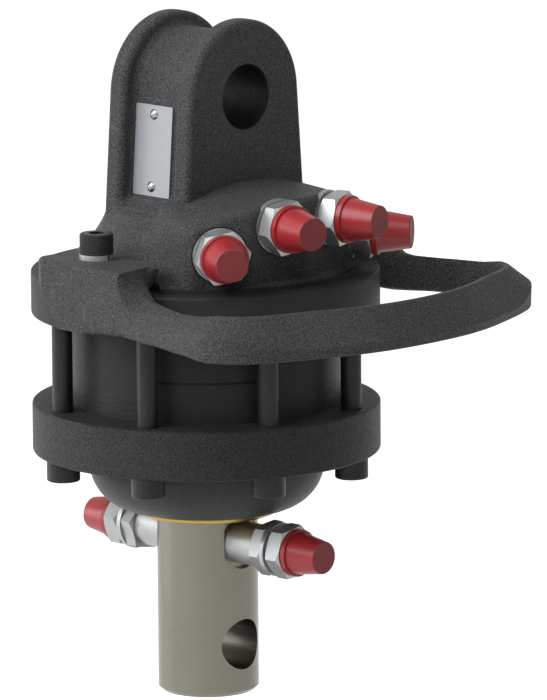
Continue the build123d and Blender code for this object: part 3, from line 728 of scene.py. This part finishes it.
@dataclass(frozen=True)
class CastSkin:
    """The shown skin of a casting: its solid's mesh, made finer and blended where a mould rounds it.

    Attributes:
        node: Name of the solid.
        zones: Where the skin may move; every zone has its say.
        passes: How often the moving points are drawn towards their neighbours.
        edge: Longest edge in the moving part.
        rounds: Most rounds of splitting long edges.
        weld: Distance within which points of the solid's mesh are one.
        sharp_angle: Least angle of an edge that stays sharp, in degrees.
        moved_share: Share of movement above which an edge shades as one surface.
        slot: Material slot that the skin takes its finish from; not used.
    """

    node: str
    zones: tuple[Span | KeepOut, ...]
    passes: int
    edge: float = 0.0014
    rounds: int = 7
    weld: float = 2e-6
    sharp_angle: float = 24.0
    moved_share: float = 0.15
    slot: str = "cast_paint"

    def share(self, points: np.ndarray) -> np.ndarray:
        """Return how far each point may move.

        Args:
            points: The points, one a row.

        Returns:
            The product of all zones.
        """
        product = np.ones(len(points))
        for zone in self.zones:
            product = product * zone.share(points)
        return product

    def refine(self, mesh: bpy.types.Mesh) -> None:
        """Split the long edges of the part that moves.

        Args:
            mesh: The skin's mesh.
        """
        work = bmesh.new()
        work.from_mesh(mesh)
        bmesh.ops.remove_doubles(work, verts=work.verts, dist=self.weld)
        bmesh.ops.triangulate(work, faces=work.faces)
        for _ in range(self.rounds):
            edges = [edge for edge in work.edges if edge.calc_length() > self.edge]
            ends = np.array([edge.verts[0].co for edge in edges]).reshape(-1, 3)
            others = np.array([edge.verts[1].co for edge in edges]).reshape(-1, 3)
            shares = [self.share(points) for points in (ends, others, (ends + others) / 2)]
            chosen = [edge for edge, share in zip(edges, np.max(shares, axis=0)) if share > 0]
            if not chosen:
                break
            bmesh.ops.subdivide_edges(work, edges=chosen, cuts=1)
            many = [face for face in work.faces if len(face.verts) > 3]
            bmesh.ops.triangulate(work, faces=many, quad_method="BEAUTY", ngon_method="BEAUTY")
        work.to_mesh(mesh)
        work.free()

    def relax(self, mesh: bpy.types.Mesh) -> None:
        """Draw the moving points towards their neighbours, which fills hollows and rounds edges.

        Args:
            mesh: The skin's mesh.
        """
        count = len(mesh.vertices)
        points = np.empty(count * 3)
        mesh.vertices.foreach_get("co", points)
        points = points.reshape(-1, 3)
        ends = np.empty(len(mesh.edges) * 2, dtype=np.int32)
        mesh.edges.foreach_get("vertices", ends)
        first, second = ends.reshape(-1, 2).T
        neighbours = np.maximum(np.bincount(ends, minlength=count), 1)[:, None]
        pull = 0.5 * self.share(points)[:, None]
        for _ in range(self.passes):
            sums = [
                np.bincount(first, column[second], count) + np.bincount(second, column[first], count)
                for column in points.T
            ]
            points = points + pull * (np.column_stack(sums) / neighbours - points)
        mesh.vertices.foreach_set("co", points.ravel())

    def crease(self, mesh: bpy.types.Mesh) -> None:
        """Keep the sharp edges of the still part and let the moved part shade as one surface.

        Args:
            mesh: The skin's mesh.
        """
        mesh.shade_smooth()
        mesh.set_sharp_from_angle(angle=math.radians(self.sharp_angle))
        points = np.array([vertex.co for vertex in mesh.vertices])
        ends = np.empty(len(mesh.edges) * 2, dtype=np.int32)
        mesh.edges.foreach_get("vertices", ends)
        moved = self.share(points[ends.reshape(-1, 2)].mean(axis=1)) > self.moved_share
        marks = mesh.attributes["sharp_edge"].data
        sharp = np.zeros(len(mesh.edges), dtype=bool)
        marks.foreach_get("value", sharp)
        marks.foreach_set("value", sharp & ~moved)

    def build(self, carried: Carried, body: str, material: bpy.types.Material) -> None:
        """Make the skin, which stands for its solid.

        Args:
            carried: The solids of the frame.
            body: The body that it rides on.
            material: What it wears.
        """
        mesh = carried.nodes[self.node].data.copy()
        mesh.name = f"{self.node}_skin"
        if "custom_normal" in mesh.attributes:
            mesh.attributes.remove(mesh.attributes["custom_normal"])
        self.refine(mesh)
        self.relax(mesh)
        self.crease(mesh)
        mesh.materials.clear()
        mesh.materials.append(material)
        skin = bpy.data.objects.new(mesh.name, mesh)
        bpy.context.scene.collection.objects.link(skin)
        even = skin.modifiers.new("even_shading", "WEIGHTED_NORMAL")
        even.keep_sharp = True
        even.weight = 100
        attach(skin, body)
        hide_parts(self.node)
        LOG.info("%s has %d faces", skin.name, len(mesh.polygons))


@dataclass(frozen=True)
class Port:
    """Place of one hose connection.

    Attributes:
        name: Last part of the names of the solids in it.
        face: Centre of its seal face.
        yaw: Its direction in plan, in degrees.
    """

    name: str
    face: Triple
    yaw: float

    @property
    def axis(self) -> Triple:
        """The direction in which the port points."""
        return (math.cos(math.radians(self.yaw)), math.sin(math.radians(self.yaw)), 0.0)


BLOCK_PORTS = (
    Port("front_outer", (0.0427, -0.0360, -0.0546), -34.0),
    Port("front_inner", (0.0515, -0.0134, -0.0452), -12.0),
    Port("back_inner", (0.0515, 0.0134, -0.0452), 12.0),
    Port("back_outer", (0.0427, 0.0360, -0.0546), 34.0),
)
SHAFT_PORTS = (
    Port("right", (0.0177, 0.0, -0.176), 0.0),
    Port("left", (-0.0177, 0.0, -0.176), 180.0),
)
SHAFT_NIPPLE = 0.0203


@dataclass
class Housing:
    """Head casting, cam ring, lower cover, the long bolts and what is sealed between them.

    Attributes:
        head_tone: Tone of the head casting's paint.
        cover_tone: Tone of the lower cover's paint.
        head_turned_z: Height below which the head casting is turned.
        dome_top_z: Height of the top of the cover's turned dome.
        dome_painted_light: Tone of the dome, as a share of the cover's tone, raised as painted light that
            stands in for the light the dome catches from below.
        shaded_bore_r: Radius that takes in the lug's pin bore and no more, whose wall gets painted shade.
        plate_centre: Middle of the data plate.
        plate_reach: Radius about the plate's middle that stays crisp.
        blend_low: Height where the head's blending starts.
        blend_high: Height where it ends, below the ears' foot.
        blend_half: Half width of the stretch that is blended.
        port_land_r: Radius of a spot face, which stays crisp.
        skin_passes: Passes that blend the head's skin.
    """

    head_tone: float = 0.047
    cover_tone: float = 0.0195
    head_turned_z: float = -0.0677
    dome_top_z: float = -0.1408
    dome_painted_light: float = 2.8
    shaded_bore_r: float = 0.0128
    plate_centre: Triple = (-0.003, 0.0, -0.0205)
    plate_reach: float = 0.0205
    blend_low: float = -0.0668
    blend_high: float = -0.038
    blend_half: float = 0.0495
    port_land_r: float = 0.0122
    skin_passes: int = 32

    def head_skin(self) -> CastSkin:
        """Return the head's skin, soft round the neck and the port block and crisp at its machined faces."""
        zones = (
            Span(2, self.blend_low, self.blend_high, 0.005),
            Span(1, -self.blend_half, self.blend_half, 0.003),
            KeepOut(self.plate_centre, (0, 1, 0), self.plate_reach, 0.003),
            *(KeepOut(port.face, port.axis, self.port_land_r, 0.003) for port in BLOCK_PORTS),
        )
        return CastSkin("head_casting", zones, self.skin_passes)

    def dress(self, carried: Carried) -> None:
        """Dress the solids.

        Args:
            carried: The solids of the frame.
        """
        head = CastPaint("head_paint", self.head_tone, 0.5, 0.9, self.head_turned_z, shaded_bore_r=self.shaded_bore_r)
        # The cover's dome is painted lighter than its flange: painted light from below.
        cover = CastPaint("cover_paint", self.cover_tone, 0.46, 0.5, self.dome_top_z, self.dome_painted_light)
        self.head_skin().build(carried, "housing", head.material())
        carried.dress(cover.material(), "lower_cover")
        carried.dress(CamRingPaint().material(), "cam_ring")
        carried.dress(BlackOxide("bolt_black").material(), "long_bolts")
        seals = SoftSeal("seal_rubber", (0.012, 0.012, 0.012), 0.55).material()
        carried.dress(seals, "o_ring_upper", "o_ring_lower", "lip_seal")
        bronze = TurnedMetal("bronze", (0.36, 0.22, 0.10), (0.55, 0.36, 0.18), 0.34).material()
        carried.dress(bronze, "upper_bush", "lower_bush", "ball_cage")
        golden = TurnedMetal("golden_ring", (0.30, 0.20, 0.04), (0.46, 0.32, 0.08), 0.34, (1, 1, 4))
        carried.dress(golden.material(), "wiper_ring")


@dataclass
class Guard:
    """Hose guard with its two screws and spring washers.

    Attributes:
        tone: Tone of the guard's paint.
        screw_y: Distance of each screw from the middle.
        screw_land_r: Radius about a screw that stays crisp.
        along: Where the blending of the pads into the bar starts and ends, in X.
        upright: Where it starts and ends in height, just under the pads' tops.
        skin_passes: Passes that blend the guard's skin.
    """

    tone: float = 0.056
    screw_y: float = 0.0595
    screw_land_r: float = 0.0095
    along: tuple[float, float] = (0.006, 0.085)
    upright: tuple[float, float] = (-0.095, -0.0585)
    skin_passes: int = 180

    def skin(self) -> CastSkin:
        """Return the guard's skin, soft where each pad runs into the bar and crisp on the pads' tops."""
        zones = (
            Span(0, *self.along, 0.016),
            Span(2, *self.upright, 0.009),
            *(KeepOut((0, side * self.screw_y, 0), (0, 0, 1), self.screw_land_r, 0.004) for side in (-1, 1)),
        )
        return CastSkin("hose_guard", zones, self.skin_passes)

    def dress(self, carried: Carried) -> None:
        """Dress the solids.

        Args:
            carried: The solids of the frame.
        """
        paint = CastPaint("guard_paint", self.tone, 0.5, 1.2)
        self.skin().build(carried, "housing", paint.material())
        washer = ZincPlate("washer_zinc").material()
        for side, sign in ((Side.FRONT, -1), (Side.BACK, 1)):
            knurled = BlackOxide(f"screw_black_{side.value}", (0.0, sign * self.screw_y))
            carried.dress(knurled.material(), f"guard_screw_{side.value}")
            carried.dress(washer, f"guard_washer_{side.value}")


@dataclass
class DataPlate:
    """Bare aluminium plate with its two domed rivets.

    Attributes:
        dark: Darker colour of the metal.
        light: Lighter colour of the metal.
    """

    dark: Triple = (0.23, 0.235, 0.24)
    light: Triple = (0.31, 0.315, 0.32)

    def dress(self, carried: Carried) -> None:
        """Dress the solids.

        Args:
            carried: The solids of the frame.
        """
        plate = TurnedMetal("plate_metal", self.dark, self.light, 0.5, (30, 1, 1), 0.35).material()
        rivet = TurnedMetal("rivet_metal", self.dark, self.light, 0.28, (1, 1, 1)).material()
        carried.dress(plate, "data_plate")
        carried.dress(rivet, "plate_rivet_upper", "plate_rivet_lower")


@dataclass
class RotorGroup:
    """Output shaft, rotor, vanes, the thrust bearing and the swivel's seals.

    Attributes:
        vane_count: Number of vanes.
        seal_count: Number of swivel seals.
    """

    vane_count: int = 8
    seal_count: int = 3

    def dress(self, carried: Carried) -> None:
        """Dress the solids.

        Args:
            carried: The solids of the frame.
        """
        shaft = TurnedMetal("shaft_steel", (0.146, 0.137, 0.113), (0.188, 0.177, 0.148), 0.3).material()
        hard = TurnedMetal("hard_steel", (0.45, 0.45, 0.46), (0.66, 0.66, 0.67), 0.26).material()
        carried.dress(shaft, "shaft", "rotor", "gallery_plugs")
        vanes = [f"vane_{number}" for number in range(1, self.vane_count + 1)]
        carried.dress(hard, "bearing_washer_upper", "bearing_washer_lower", "bearing_balls", *vanes)
        slippery = SoftSeal("swivel_seal_plastic", (0.16, 0.09, 0.045), 0.4).material()
        carried.dress(slippery, *[f"swivel_seal_{number}" for number in range(1, self.seal_count + 1)])


@dataclass
class HoseEnd:
    """One hose connection: seal, adapter and cap in a port, or on a nipple of the shaft.

    Attributes:
        port: Where it sits.
        first: First word of its solids' names.
        nipple: Length of the nipple below the adapter.
        cap_end: Distance of the cap's end face from the adapter's seal face.
        stub: First and last distance of the thread under the cap from that face.
    """

    port: Port
    first: str
    nipple: float = 0.0
    cap_end: float = 0.025
    stub: tuple[float, float] = (0.0100, 0.0176)

    def dress(self, carried: Carried) -> None:
        """Dress the solids.

        Args:
            carried: The solids of the frame.
        """
        name, axis = self.port.name, self.port.axis
        start = Vector(axis).dot(Vector(self.port.face)) + self.nipple
        zinc = ZincPlate(f"{self.first}_zinc_{name}", axis, start, self.stub).material()
        cap = CapPlastic(f"{self.first}_cap_red_{name}", axis, start + self.cap_end).material()
        carried.dress(zinc, f"{self.first}_seal_{name}", f"{self.first}_adapter_{name}")
        carried.dress(cap, f"{self.first}_cap_{name}")
        if self.nipple:
            carried.dress(zinc, f"{self.first}_nipple_{name}")


@dataclass(frozen=True)
class Lamp:
    """A square soft lamp that points at the middle of the rotator.

    Attributes:
        name: Name of the lamp.
        place: Its position.
        size: Length of its side.
        power: Its power in watts.
        tint: Its colour.
        aim: The point that it lights.
    """

    name: str
    place: Triple
    size: float
    power: float
    tint: Triple
    aim: Triple = (0.0, 0.0, -0.1)

    def build(self) -> None:
        """Hang the lamp in the scene."""
        data = bpy.data.lights.new(self.name, "AREA")
        data.size = self.size
        data.energy = self.power
        data.color = self.tint
        lamp = bpy.data.objects.new(self.name, data)
        lamp.location = self.place
        direction = Vector(self.aim) - Vector(self.place)
        lamp.rotation_euler = direction.to_track_quat("-Z", "Y").to_euler()
        bpy.context.scene.collection.objects.link(lamp)


COOL = (0.94, 0.97, 1.02)
WARM = (1.03, 0.99, 0.91)


@dataclass
class Studio:
    """Camera, lamps, world and floor.

    Attributes:
        eye: Camera position.
        heading: Plan direction of the view, in degrees from +Y towards -X.
        pitch: How far the camera looks down, in degrees.
        roll: Turn of the camera about its own axis, in degrees.
        focal_px: Focal length in pixels of a picture 700 pixels high.
        frame_px: Height of that picture.
        sensor_mm: Sensor size of the camera.
        far: Farthest distance that the camera sees.
        floor_z: Height of the floor.
        floor_reach: Half width of the floor.
        floor_tone: Linear grey of the floor.
        floor_glow: Strength of the white that the floor shows.
        surround: Strength of the world's even light.
        shown_tone: Linear grey of the world that the camera and reflections see.
        lamps: The lamps.
    """

    eye: Triple = (2.10273, -2.13975, 0.47353)
    heading: float = 43.998
    pitch: float = 10.868
    roll: float = -0.379
    focal_px: float = 7832.6
    frame_px: float = 700.0
    sensor_mm: float = 36.0
    far: float = 60.0
    floor_z: float = -0.45
    floor_reach: float = 12.0
    floor_tone: float = 0.6
    floor_glow: float = 0.75
    surround: float = 0.2
    shown_tone: float = 0.8
    lamps: tuple[Lamp, ...] = (
        Lamp("key_front", (-0.75, -2.8, 2.2), 3.0, 188.0, COOL),
        Lamp("strip_left", (-3.1, -1.7, 0.1), 1.5, 44.0, COOL),
        Lamp("fill_right", (2.1, -1.2, 2.9), 1.8, 34.0, WARM),
    )

    def camera(self) -> None:
        """Make the camera at the photograph's place."""
        turn, drop, lean = (math.radians(angle) for angle in (self.heading, self.pitch, self.roll))
        forward = Vector((-math.sin(turn) * math.cos(drop), math.cos(turn) * math.cos(drop), -math.sin(drop)))
        right = Vector((math.cos(turn), math.sin(turn), 0.0))
        up = right.cross(forward)
        tilted_right = right * math.cos(lean) + up * math.sin(lean)
        tilted_up = up * math.cos(lean) - right * math.sin(lean)
        data = bpy.data.cameras.new("photo_camera")
        data.sensor_width = self.sensor_mm
        data.lens = self.focal_px * self.sensor_mm / self.frame_px
        data.clip_end = self.far
        camera = bpy.data.objects.new("photo_camera", data)
        turned = Matrix((tilted_right, tilted_up, -forward)).transposed()
        camera.matrix_world = Matrix.Translation(self.eye) @ turned.to_4x4()
        bpy.context.scene.collection.objects.link(camera)
        bpy.context.scene.camera = camera

    def floor(self) -> None:
        """Make the pale floor, which shows white to the camera and keeps its shadow."""
        mesh = bpy.data.meshes.new("floor")
        reach = self.floor_reach
        corners = [(-reach, -reach, 0), (reach, -reach, 0), (reach, reach, 0), (-reach, reach, 0)]
        mesh.from_pydata(corners, [], [(0, 1, 2, 3)])
        floor = bpy.data.objects.new("floor", mesh)
        floor.location = (0, 0, self.floor_z)
        bpy.context.scene.collection.objects.link(floor)
        graph = Graph.fresh("floor_white")
        mesh.materials.append(
            graph.surface(
                Base_Color=grey(self.floor_tone),
                Roughness=0.9,
                Emission_Color=graph.mix(graph.seen(), grey(0.0), grey(1.0)),
                Emission_Strength=self.floor_glow,
            )
        )
        floor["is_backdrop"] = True

    def world(self) -> None:
        """Make a pale surround that lights the rotator evenly."""
        world = bpy.data.worlds.new("surround")
        world.use_nodes = True
        bpy.context.scene.world = world
        graph = Graph(world)
        nodes = world.node_tree.nodes
        even = nodes["Background"]
        graph.feed(even.inputs["Color"], grey(1.0))
        graph.feed(even.inputs["Strength"], self.surround)
        shown = graph.node("ShaderNodeBackground", {}, {"Color": grey(self.shown_tone), "Strength": 1.0})
        inputs = {0: graph.seen(), 1: even.outputs[0], 2: shown.outputs[0]}
        mixed = graph.node("ShaderNodeMixShader", {}, inputs)
        graph.feed(nodes["World Output"].inputs["Surface"], mixed.outputs[0])

    def build(self) -> None:
        """Make everything round the rotator."""
        bpy.context.scene.view_settings.view_transform = "Standard"
        self.camera()
        self.floor()
        self.world()
        for lamp in self.lamps:
            lamp.build()
        LOG.info("studio ready")


def corners() -> list[list[float]]:
    """Return the whole object's lowest and highest corners as plain lists."""
    return [[float(part) for part in corner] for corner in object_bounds()]


def main() -> None:
    """Build the looks in order."""
    logging.basicConfig(level=logging.INFO, format="%(name)s: %(message)s")
    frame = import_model()
    carried = Carried(frame["nodes"])
    Studio().build()
    assemblies = [
        Housing(),
        Guard(),
        DataPlate(),
        RotorGroup(),
        *(HoseEnd(port, "port") for port in BLOCK_PORTS),
        *(HoseEnd(port, "shaft", SHAFT_NIPPLE) for port in SHAFT_PORTS),
    ]
    for assembly in assemblies:
        assembly.dress(carried)


if __name__ == "__main__":
    main()
